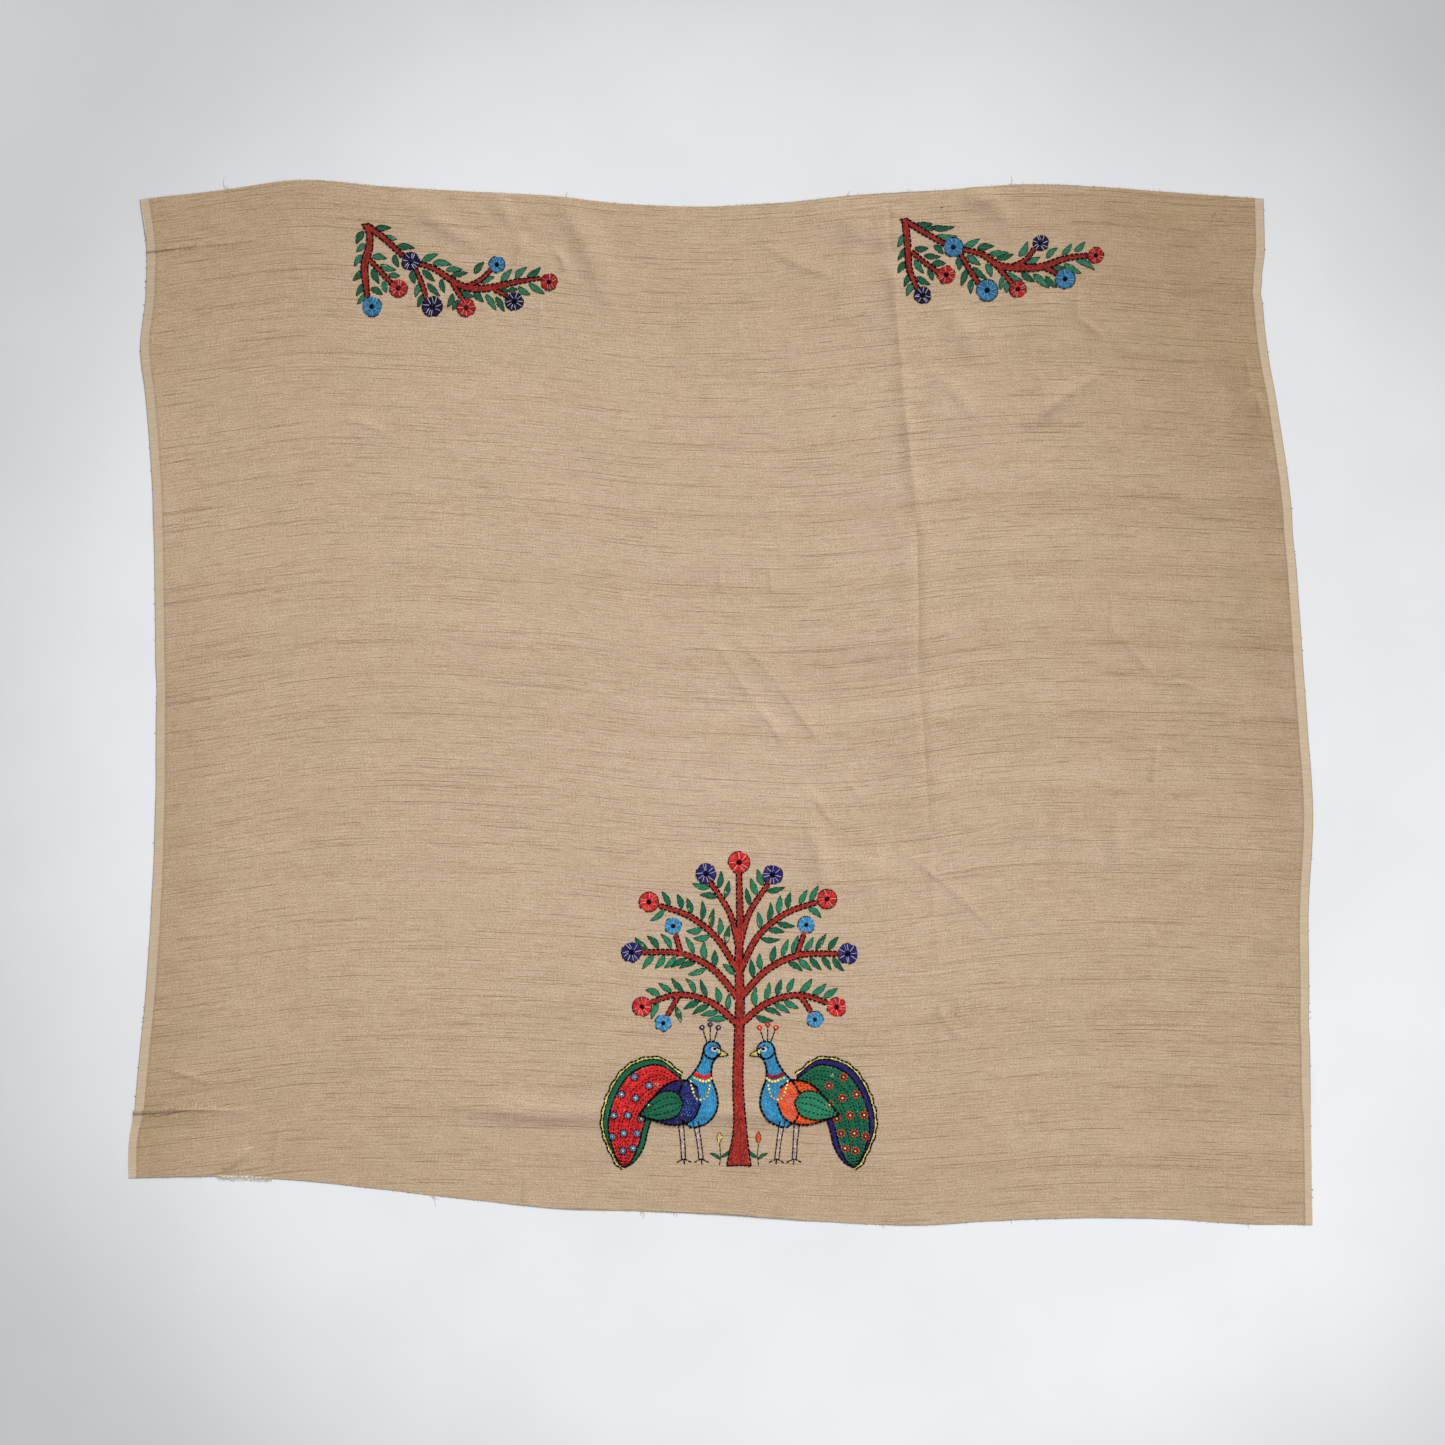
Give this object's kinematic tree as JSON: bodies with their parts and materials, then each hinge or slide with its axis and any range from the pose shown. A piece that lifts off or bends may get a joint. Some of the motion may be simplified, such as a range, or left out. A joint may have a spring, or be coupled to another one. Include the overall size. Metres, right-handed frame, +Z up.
{
  "type": "kantha embroidered fabric",
  "caption": "Loose length of slubbed beige cloth with woven selvedges, raw cut ends and coloured hand embroidery, lying nearly flat in soft folds.",
  "frame": {"origin": "on the surface the cloth lies on, under the middle of the cloth's box", "axes": "+X along the weft towards the right selvedge, +Y along the warp towards the edge with the two sprays, +Z up out of the face"},
  "size_m": [1.154, 1.02, 0.0057],
  "materials": {
    "cloth": "slubbed plain weave with a soft sheen",
    "thread_brick": "stranded embroidery thread",
    "thread_red": "stranded embroidery thread",
    "thread_green": "stranded embroidery thread",
    "thread_navy": "stranded embroidery thread",
    "thread_blue": "stranded embroidery thread",
    "thread_black": "stranded embroidery thread",
    "thread_yellow": "stranded embroidery thread",
    "thread_orange": "stranded embroidery thread",
    "thread_white": "stranded embroidery thread",
    "thread_maroon": "stranded embroidery thread",
    "thread_pink": "stranded embroidery thread"
  },
  "bodies": {
    "root": {"cloth": "cloth"}
  },
  "joints": []
}
